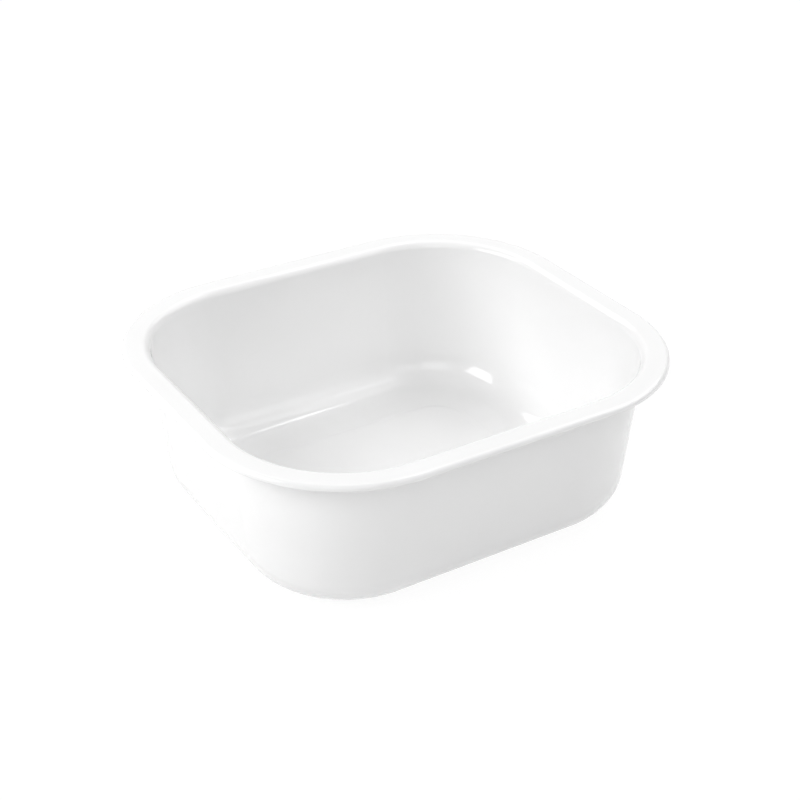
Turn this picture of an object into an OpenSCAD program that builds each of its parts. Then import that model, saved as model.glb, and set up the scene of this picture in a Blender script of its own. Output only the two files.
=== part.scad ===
// Washing up bowl: one moulded shell with a flat rim and a down-turned lip.
// The bowl stands on its base at z = 0, centred on the origin, long side along X.
// Its section is one sheet of even thickness, followed from the floor up the wall and
// out to the end of the lip, then swept round the four corners and along the four sides.

/* [Overall] */
// Length over the rim, lip face to lip face
length = 360; // [330:1:460]
// Width over the rim, lip face to lip face
width = 324; // [270:1:360]
// Height from the table to the top of the rim
height = 123; // [90:1:170]
// Corner radius in plan, at the face of the lip
corner_r = 106; // [90:1:130]

/* [Wall] */
// Thickness of the moulded plastic
wall = 2.2; // [1.4:0.1:4]
// Lean of the walls away from upright, in degrees
draft = 5.5; // [1:0.5:9]
// Inside radius between wall and floor
floor_r = 27; // [10:1:38]

/* [Rim] */
// Width of the rim, from the lip face to the inner wall
rim_w = 20; // [15:1:30]
// Radius under the rim, where the wall turns out into it
shoulder_r = 3.8; // [1:0.2:8]
// Radius under the rim, where it turns down into the lip
lip_r = 0.9; // [0.3:0.1:3]
// Straight part of the lip, between its bend and its rounded end
lip_drop = 0.2; // [0.1:0.1:8]

/* [Foot] */
// Width of the flat ring that the bowl stands on
foot_w = 22.5; // [8:0.5:26]
// Rise of the floor's middle above that ring
foot_rise = 0.6; // [0.3:0.1:1.2]
// Slope of the step from the middle down to the ring, in degrees
step_slope = 12; // [6:1:20]

/* [Hidden] */
$fn = 96;

// Centres of the corners, from the middle of the bowl
centre_x = length / 2 - corner_r;
centre_y = width / 2 - corner_r;

// Direction of the wall as it climbs, and the radii on the outside of the bends
climb = 90 - draft;
base_r = floor_r + wall;
shoulder_top_r = shoulder_r + wall;
lip_top_r = lip_r + wall;

// Straight stretches of the sheet: up the wall and across the rim, and how far a
// corner's centre is from where the wall's bend leaves the table
wall_run = (height - wall - (base_r + shoulder_r) * (1 - cos(climb))) / sin(climb);
rim_run = rim_w - lip_top_r - shoulder_top_r * tan(climb / 2);
floor_run = corner_r - lip_top_r - rim_run - wall_run * cos(climb)
  - (base_r + shoulder_r) * sin(climb);

// Underside of the floor: where the ring starts, and where the step down to it starts.
// The upper side turns this much further out, which keeps the sheet even.
ring_x = floor_run - foot_w;
step_x = ring_x - foot_rise / tan(step_slope);
turn_out = wall * tan(step_slope / 2);

// Part of a ring of the sheet's thickness, between two directions at most 90 degrees apart
module ring_part(r, from, to) {
  reach = 2 * (r + wall);
  intersection() {
    difference() {
      circle(r + wall);
      circle(r);
    }
    polygon([[0, 0], reach * [cos(from), sin(from)], reach * [cos(to), sin(to)]]);
  }
}

// The sheet is drawn stretch by stretch. Each stretch starts at the origin, heads along +X
// with its thickness towards +Y, and places what follows at its own end.
module straight(run) {
  square([run, wall]);
  translate([run, 0]) children();
}

// The floor: the raised middle, the step down and the ring
module floor_sheet() {
  polygon([
    [0, foot_rise],
    [step_x, foot_rise],
    [ring_x, 0],
    [floor_run, 0],
    [floor_run, wall],
    [ring_x + turn_out, wall],
    [step_x + turn_out, foot_rise + wall],
    [0, foot_rise + wall]
  ]);
  translate([floor_run, 0]) children();
}

module bend_up(r, turn) {
  translate([0, wall + r]) {
    ring_part(r, -90, turn - 90);
    rotate(turn) translate([0, -wall - r]) children();
  }
}

module bend_down(r, turn) {
  translate([0, -r]) {
    ring_part(r, 90 - turn, 90);
    rotate(-turn) translate([0, r]) children();
  }
}

module rounded_end() {
  intersection() {
    translate([0, wall / 2]) circle(d = wall);
    square(wall);
  }
}

// Section of the shell, from a corner's centre out to the lip
module shell_section() {
  floor_sheet()
    bend_up(floor_r, climb)
    straight(wall_run)
    bend_down(shoulder_r, climb)
    straight(rim_run)
    bend_down(lip_r, 90)
    straight(lip_drop)
    rounded_end();
}

// One side, as long as the distance between two corner centres, facing +X
module side(reach, run) {
  translate([reach, run / 2, 0]) rotate([90, 0, 0]) linear_extrude(run) shell_section();
}

module bowl() {
  color("white") union() {
    for (turn = [0, 180]) {
      rotate(turn) side(centre_x, 2 * centre_y);
      rotate(turn + 90) side(centre_y, 2 * centre_x);
      // Corners towards +X +Y and -X +Y, then their opposites
      rotate(turn) translate([centre_x, centre_y, 0])
        rotate_extrude(angle = 90) shell_section();
      rotate(turn) translate([-centre_x, centre_y, 0])
        rotate(90) rotate_extrude(angle = 90) shell_section();
    }
    // Floor between the four corner centres
    translate([-centre_x, -centre_y, foot_rise])
      cube([2 * centre_x, 2 * centre_y, wall]);
  }
}

bowl();
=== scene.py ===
import math

import bpy
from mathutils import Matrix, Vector


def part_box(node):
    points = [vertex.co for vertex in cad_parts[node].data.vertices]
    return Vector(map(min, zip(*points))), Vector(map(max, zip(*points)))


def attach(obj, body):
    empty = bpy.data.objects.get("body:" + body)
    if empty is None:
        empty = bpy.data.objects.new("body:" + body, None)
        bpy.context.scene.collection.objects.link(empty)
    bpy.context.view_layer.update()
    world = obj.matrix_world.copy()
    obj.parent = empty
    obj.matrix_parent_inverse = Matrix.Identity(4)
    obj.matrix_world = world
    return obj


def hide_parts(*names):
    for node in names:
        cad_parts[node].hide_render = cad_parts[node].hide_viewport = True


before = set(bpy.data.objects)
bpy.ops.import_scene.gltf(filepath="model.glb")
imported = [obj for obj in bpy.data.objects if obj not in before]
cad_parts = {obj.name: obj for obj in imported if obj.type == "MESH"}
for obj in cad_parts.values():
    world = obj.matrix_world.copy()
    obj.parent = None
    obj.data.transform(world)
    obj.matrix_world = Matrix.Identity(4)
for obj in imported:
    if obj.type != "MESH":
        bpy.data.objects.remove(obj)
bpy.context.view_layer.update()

# Sizes of the moulding, in metres and degrees. Length, width and height are the frame's.
MM = 0.001
bowl_low, bowl_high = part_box("bowl")
LENGTH, WIDTH, HEIGHT = bowl_high - bowl_low
CORNER_R = 106 * MM
WALL = 2.2 * MM
CLIMB = 90 - 5.5
FLOOR_R = 27 * MM
RIM_W = 20 * MM
SHOULDER_R = 3.8 * MM
LIP_R = 0.9 * MM
LIP_DROP = 0.2 * MM
FOOT_RISE = 0.6 * MM
# How far the middle of the floor's step lies in from the wall's bend, and its bends' radius
STEP_MIDDLE = 23.9 * MM
STEP_R = 20 * MM
# Points closer than this are one point
WELD = MM / 100

# Centres of the corners, from the middle of the bowl
CENTRE_X = LENGTH / 2 - CORNER_R
CENTRE_Y = WIDTH / 2 - CORNER_R

# Straight stretches of the sheet, as the wall, rim and floor have them
climb = math.radians(CLIMB)
outside_bends = FLOOR_R + WALL + SHOULDER_R
WALL_RUN = (HEIGHT - WALL - outside_bends * (1 - math.cos(climb))) / math.sin(climb)
RIM_RUN = RIM_W - LIP_R - WALL - (SHOULDER_R + WALL) * math.tan(climb / 2)
FLOOR_RUN = (CORNER_R - LIP_R - WALL - RIM_RUN - WALL_RUN * math.cos(climb)
             - outside_bends * math.sin(climb))

# The step from the raised middle of the floor down to the ring that the bowl stands on is
# a soft S of two bends, whose turn follows from their radius and the rise
step_turn = math.acos(1 - FOOT_RISE / (2 * STEP_R + WALL))
STEP_TURN = math.degrees(step_turn)
RING_RUN = STEP_MIDDLE - (STEP_R + WALL) * math.sin(step_turn)
# The section starts this far from the corner's centre, where the floor is flat
FLOOR_START = 15 * MM
MIDDLE_RUN = FLOOR_RUN - STEP_MIDDLE - STEP_R * math.sin(step_turn) - FLOOR_START

# Outline of the section: each straight run, then the radius of the bend at its end and
# its turn in degrees, to the left where that is positive
OUTLINE = [
    # Floor with its step, wall, rim and lip, along the side that holds the water
    (MIDDLE_RUN, STEP_R + WALL, -STEP_TURN),
    (0, STEP_R, STEP_TURN),
    (RING_RUN, FLOOR_R, CLIMB),
    (WALL_RUN, SHOULDER_R + WALL, -CLIMB),
    (RIM_RUN, LIP_R + WALL, -90),
    # Round the end of the lip, and back along the other side
    (LIP_DROP, WALL / 2, -180),
    (LIP_DROP, LIP_R, 90),
    (RIM_RUN, SHOULDER_R, CLIMB),
    (WALL_RUN, FLOOR_R + WALL, -CLIMB),
    # The ring that the bowl stands on, the step, and the underside within it
    (RING_RUN, STEP_R + WALL, -STEP_TURN),
    (0, STEP_R, STEP_TURN),
    (MIDDLE_RUN, 0, 0),
]
# Bends are divided finely, because a glossy surface shows each step in its reflections.
# Bends wider than WIDE_BEND take the smaller step, in degrees.
WIDE_BEND = 10 * MM
WIDE_STEP = 2.6
TIGHT_STEP = 6
CORNER_STEPS = 60


def start_at_point(name, place):
    """A new object in edit mode that holds a single selected vertex."""
    bpy.ops.object.select_all(action="DESELECT")
    bpy.ops.mesh.primitive_plane_add(size=MM, location=place)
    bpy.context.object.name = name
    bpy.context.object.data.name = name
    bpy.ops.object.mode_set(mode="EDIT")
    bpy.ops.mesh.select_all(action="SELECT")
    bpy.ops.mesh.merge(type="CENTER")
    return bpy.context.object


def extrude(step):
    bpy.ops.mesh.extrude_region_move(TRANSFORM_OT_translate={"value": step})


def spin(degrees, steps, centre, axis):
    """Turns what is selected about the axis by the right-hand rule, drawing as it goes."""
    bpy.ops.mesh.spin(steps=steps, angle=-math.radians(degrees), center=centre, axis=axis)


def draw_outline(start):
    """Draws the section in the upright plane along X, from the selected vertex on."""
    at = start.copy()
    heading = 0
    for run, radius, turn in OUTLINE:
        ahead = Vector((math.cos(math.radians(heading)), 0, math.sin(math.radians(heading))))
        if run:
            extrude(ahead * run)
            at += ahead * run
        if not turn:
            continue
        to_left = Vector((-ahead.z, 0, ahead.x)) * math.copysign(radius, turn)
        centre = at + to_left
        step = WIDE_STEP if radius > WIDE_BEND else TIGHT_STEP
        spin(turn, math.ceil(abs(turn) / step), centre, (0, -1, 0))
        heading += turn
        left = Vector((-math.sin(math.radians(heading)), 0, math.cos(math.radians(heading))))
        at = centre - left * math.copysign(radius, turn)


def model_bowl():
    """The whole moulding: a quarter is swept from its section, then mirrored twice."""
    start = Vector((CENTRE_X + FLOOR_START, 0, WALL + FOOT_RISE))
    piece = start_at_point("bowl_shell", start)
    draw_outline(start)
    # Half the end wall, the corner, then half the side wall
    bpy.ops.mesh.select_all(action="SELECT")
    extrude((0, CENTRE_Y, 0))
    spin(90, CORNER_STEPS, (CENTRE_X, CENTRE_Y, 0), (0, 0, 1))
    extrude((-CENTRE_X, 0, 0))
    bpy.ops.object.mode_set(mode="OBJECT")
    bpy.ops.object.transform_apply(location=True, rotation=True, scale=True)

    mirror = piece.modifiers.new("four_quarters", "MIRROR")
    mirror.use_axis = (True, True, False)
    mirror.merge_threshold = WELD
    bpy.ops.object.modifier_apply(modifier=mirror.name)

    # The flat of the floor and of the underside close the two holes that are left
    bpy.ops.object.mode_set(mode="EDIT")
    bpy.ops.mesh.select_all(action="SELECT")
    bpy.ops.mesh.remove_doubles(threshold=WELD)
    bpy.ops.mesh.fill_holes(sides=0)
    bpy.ops.mesh.select_all(action="SELECT")
    bpy.ops.mesh.normals_make_consistent(inside=False)
    bpy.ops.object.mode_set(mode="OBJECT")

    # Flats keep their own normal right up to the bends, so that reflections run straight
    bpy.ops.object.shade_smooth()
    weighted = piece.modifiers.new("flats_lead", "WEIGHTED_NORMAL")
    weighted.mode = "FACE_AREA"
    weighted.weight = 100
    bpy.ops.object.modifier_apply(modifier=weighted.name)
    return piece


def linear(hex_colour):
    """An sRGB hex colour as the linear values that shaders take."""
    parts = [int(hex_colour[i:i + 2], 16) / 255 for i in (1, 3, 5)]
    lit = [c / 12.92 if c <= 0.04045 else ((c + 0.055) / 1.055) ** 2.4 for c in parts]
    return (*lit, 1)


def add_node(tree, kind, settings=None, links=None):
    """One shader node, with its settings by name and its inputs linked by socket."""
    node = tree.nodes.new(kind)
    for name, value in (settings or {}).items():
        if isinstance(name, str) and hasattr(node, name):
            setattr(node, name, value)
        else:
            node.inputs[name].default_value = value
    for name, source in (links or {}).items():
        tree.links.new(source, node.inputs[name])
    return node


def new_material(name):
    material = bpy.data.materials.new(name)
    material.use_nodes = True
    material.node_tree.nodes.clear()
    return material, material.node_tree


# Slow waves left by uneven shrinking as the moulding cooled, and grain of the polished tool
WAVE_SPACING = 60 * MM
WAVE_DEPTH = 0.02 * MM
GRAIN_SPACING = 0.8 * MM
GRAIN_DEPTH = 0.001 * MM
GRAIN_STRENGTH = 0.5
# White pigment, where it lies thinnest and thickest, and the polish in the same places
PIGMENT_THIN = "#EDEDED"
PIGMENT_FULL = "#F1F1F1"
POLISH_FINEST = 0.015
POLISH_DULLEST = 0.04
PLASTIC_IOR = 1.5
# Sockets of a colour mix: its factor, its two colours and its result
MIX_FACTOR, MIX_FIRST, MIX_SECOND, MIX_RESULT = 0, 6, 7, 2


def moulded_gloss_plastic():
    """White plastic moulded against a polished tool: opaque, neutral and mirror-like at a
    low angle, with a faint unevenness that only its reflections show."""
    material, tree = new_material("moulded_white_gloss_plastic")
    place = add_node(tree, "ShaderNodeTexCoord").outputs["Object"]
    waves = add_node(tree, "ShaderNodeTexNoise", {"Scale": 1 / WAVE_SPACING, "Detail": 1},
                     {"Vector": place})
    grain = add_node(tree, "ShaderNodeTexNoise", {"Scale": 1 / GRAIN_SPACING, "Detail": 2},
                     {"Vector": place})
    wavy = add_node(tree, "ShaderNodeBump", {"Strength": 1, "Distance": WAVE_DEPTH},
                    {"Height": waves.outputs["Fac"]})
    grainy = add_node(tree, "ShaderNodeBump",
                      {"Strength": GRAIN_STRENGTH, "Distance": GRAIN_DEPTH},
                      {"Height": grain.outputs["Fac"], "Normal": wavy.outputs["Normal"]})
    # Polish that varies a little over the surface
    polish = add_node(tree, "ShaderNodeMapRange",
                      {"To Min": POLISH_FINEST, "To Max": POLISH_DULLEST},
                      {"Value": waves.outputs["Fac"]})
    # White pigment that lies a little thinner in places
    pigment = add_node(tree, "ShaderNodeMix",
                       {"data_type": "RGBA", MIX_FIRST: linear(PIGMENT_THIN),
                        MIX_SECOND: linear(PIGMENT_FULL)},
                       {MIX_FACTOR: waves.outputs["Fac"]})
    plastic = add_node(tree, "ShaderNodeBsdfPrincipled", {"IOR": PLASTIC_IOR},
                       {"Base Color": pigment.outputs[MIX_RESULT],
                        "Roughness": polish.outputs["Result"],
                        "Normal": grainy.outputs["Normal"]})
    add_node(tree, "ShaderNodeOutputMaterial", links={"Surface": plastic.outputs["BSDF"]})
    return material


# Camera: place in metres, turn to the right of +Y and tilt below level in degrees, and
# focal length and sensor width in the millimetres that a camera takes
CAMERA_PLACE = Vector((-0.5279, -0.8632, 0.6619))
CAMERA_TURN = 31.69
CAMERA_TILT = 30.17
CAMERA_LENS = 70.9
CAMERA_SENSOR = 36


def add_camera():
    camera = bpy.data.objects.new("camera", bpy.data.cameras.new("camera"))
    camera.location = CAMERA_PLACE
    camera.rotation_euler = (math.radians(90 - CAMERA_TILT), 0, math.radians(-CAMERA_TURN))
    camera.data.sensor_width = CAMERA_SENSOR
    camera.data.lens = CAMERA_LENS
    bpy.context.scene.collection.objects.link(camera)
    bpy.context.scene.camera = camera


# Soft boxes: where each stands around the bowl, as degrees to the left of the camera's
# heading and degrees above level, then how far off, its width and height in metres, and watts
SOFT_BOXES = {
    "key_left": (108, 33, 2.5, 2.0, 1.3, 44),
    "fill_near": (-178, 37, 2.5, 1.5, 1.3, 12.5),
    "fill_near_right": (-130, 34, 2.5, 1.5, 1.1, 5.8),
    "fill_right": (-80, 40, 2.5, 1.65, 1.25, 19),
    "fill_right_top": (-75, 60, 2.5, 1.75, 0.5, 3.5),
    "fill_right_far": (-33, 45, 2.5, 1.35, 1.1, 9.5),
    "fill_far": (12, 50, 2.5, 1.25, 0.9, 6.5),
    "accent_far_left": (52, 41, 2.5, 1.0, 0.5, 7),
    "strip_far_right_top": (-25, 62, 1.0, 0.18, 0.10, 0.3),
}
LIT_POINT = Vector((0, 0, HEIGHT / 2))


def add_soft_box(name, left, up, distance, width, height, watts):
    heading = math.radians(90 - CAMERA_TURN + left)
    rise = math.radians(up)
    away = Vector((math.cos(heading) * math.cos(rise), math.sin(heading) * math.cos(rise),
                   math.sin(rise)))
    lamp = bpy.data.lights.new(name, "AREA")
    lamp.shape = "RECTANGLE"
    lamp.size = width
    lamp.size_y = height
    lamp.energy = watts
    box = bpy.data.objects.new(name, lamp)
    box.visible_camera = False
    box.location = LIT_POINT + away * distance
    box.rotation_euler = away.to_track_quat("Z", "Y").to_euler()
    bpy.context.scene.collection.objects.link(box)


def seen_directly(tree):
    """Is 1 for the rays by which the camera, a gloss or a clear thing sees the surface."""
    rays = add_node(tree, "ShaderNodeLightPath")
    seen = add_node(tree, "ShaderNodeMath", {"operation": "MAXIMUM"},
                    {0: rays.outputs["Is Camera Ray"], 1: rays.outputs["Is Glossy Ray"]})
    seen = add_node(tree, "ShaderNodeMath", {"operation": "MAXIMUM"},
                    {0: seen.outputs["Value"], 1: rays.outputs["Is Transmission Ray"]})
    return seen.outputs["Value"]


# How much of the sweep's own white shows, and its glow, which make up for the lamps' falling
# a little short of white on it. The rest is its lit paper, which keeps the bowl's shadow.
PAPER = "#F7F7F7"
WHITE = "#FFFFFF"
SWEEP_WHITE = 0.9
SWEEP_GLOW = 1.03
# The sweep reaches far enough to show no edge near the bowl, and lies a hair below it
SWEEP_SIZE = 40
SWEEP_GAP = 0.05 * MM


def add_floor():
    """A white sweep. What looks at it sees white, with a little of the bowl's shadow."""
    bpy.ops.object.select_all(action="DESELECT")
    bpy.ops.mesh.primitive_plane_add(size=SWEEP_SIZE, location=(0, 0, -SWEEP_GAP))
    floor = bpy.context.object
    floor.name = "floor"
    material, tree = new_material("white_paper_sweep")
    paper = add_node(tree, "ShaderNodeBsdfDiffuse", {"Color": linear(PAPER)})
    white = add_node(tree, "ShaderNodeEmission",
                     {"Color": linear(WHITE), "Strength": SWEEP_GLOW})
    share = add_node(tree, "ShaderNodeMath", {"operation": "MULTIPLY", 1: SWEEP_WHITE},
                     {0: seen_directly(tree)})
    mixed = add_node(tree, "ShaderNodeMixShader", links={
        0: share.outputs["Value"], 1: paper.outputs["BSDF"], 2: white.outputs["Emission"]})
    add_node(tree, "ShaderNodeOutputMaterial", links={"Surface": mixed.outputs["Shader"]})
    floor.data.materials.append(material)


# Light that the room itself sheds on the bowl, where 1 is white
ROOM_LIGHT = 0.12


def add_room():
    """The studio beyond the soft boxes: it lights dimly and evenly, and looks white."""
    world = bpy.data.worlds.new("studio")
    world.use_nodes = True
    tree = world.node_tree
    tree.nodes.clear()
    dim = add_node(tree, "ShaderNodeBackground",
                   {"Color": linear(WHITE), "Strength": ROOM_LIGHT})
    white = add_node(tree, "ShaderNodeBackground", {"Color": linear(WHITE), "Strength": 1})
    mixed = add_node(tree, "ShaderNodeMixShader", links={
        0: seen_directly(tree), 1: dim.outputs["Background"], 2: white.outputs["Background"]})
    add_node(tree, "ShaderNodeOutputWorld", links={"Surface": mixed.outputs["Shader"]})
    bpy.context.scene.world = world


bowl = model_bowl()
bowl.data.materials.append(moulded_gloss_plastic())
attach(bowl, "root")
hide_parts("bowl")

add_camera()
add_floor()
add_room()
for box_name, box_sizes in SOFT_BOXES.items():
    add_soft_box(box_name, *box_sizes)
bpy.context.scene.view_settings.view_transform = "Standard"
